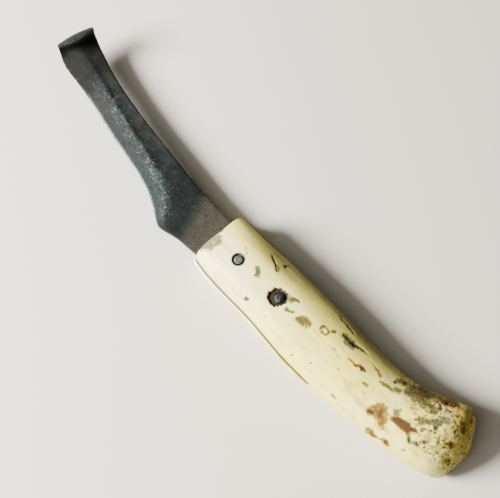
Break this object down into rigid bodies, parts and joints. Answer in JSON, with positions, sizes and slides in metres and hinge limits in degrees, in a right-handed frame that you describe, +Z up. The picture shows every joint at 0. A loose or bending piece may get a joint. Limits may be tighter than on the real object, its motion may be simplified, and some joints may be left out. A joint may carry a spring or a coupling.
{
  "type": "carving knife",
  "caption": "Fixed-blade carving knife with a one-piece bone handle and a single-bevel forged blade whose tip curls up and back over, for whittling and hollowing.",
  "frame": {"origin": "on the resting plane, under the middle of the knife's bounding box", "axes": "+X from the butt to the curled tip, +Y towards the cutting edge, +Z up from the handle's flattened underside"},
  "size_m": [0.2048, 0.0386, 0.0207],
  "materials": {
    "blade_steel": "dark forged patina with rust spots",
    "handle_bone": "aged ivory-coloured bone, satin, stained and cracked",
    "front_rivet_steel": "rubbed bright",
    "rear_rivet_steel": "dark and rusted"
  },
  "bodies": {
    "root": {"blade": "blade_steel", "handle": "handle_bone", "front_rivet": "front_rivet_steel", "rear_rivet": "rear_rivet_steel"}
  },
  "joints": []
}
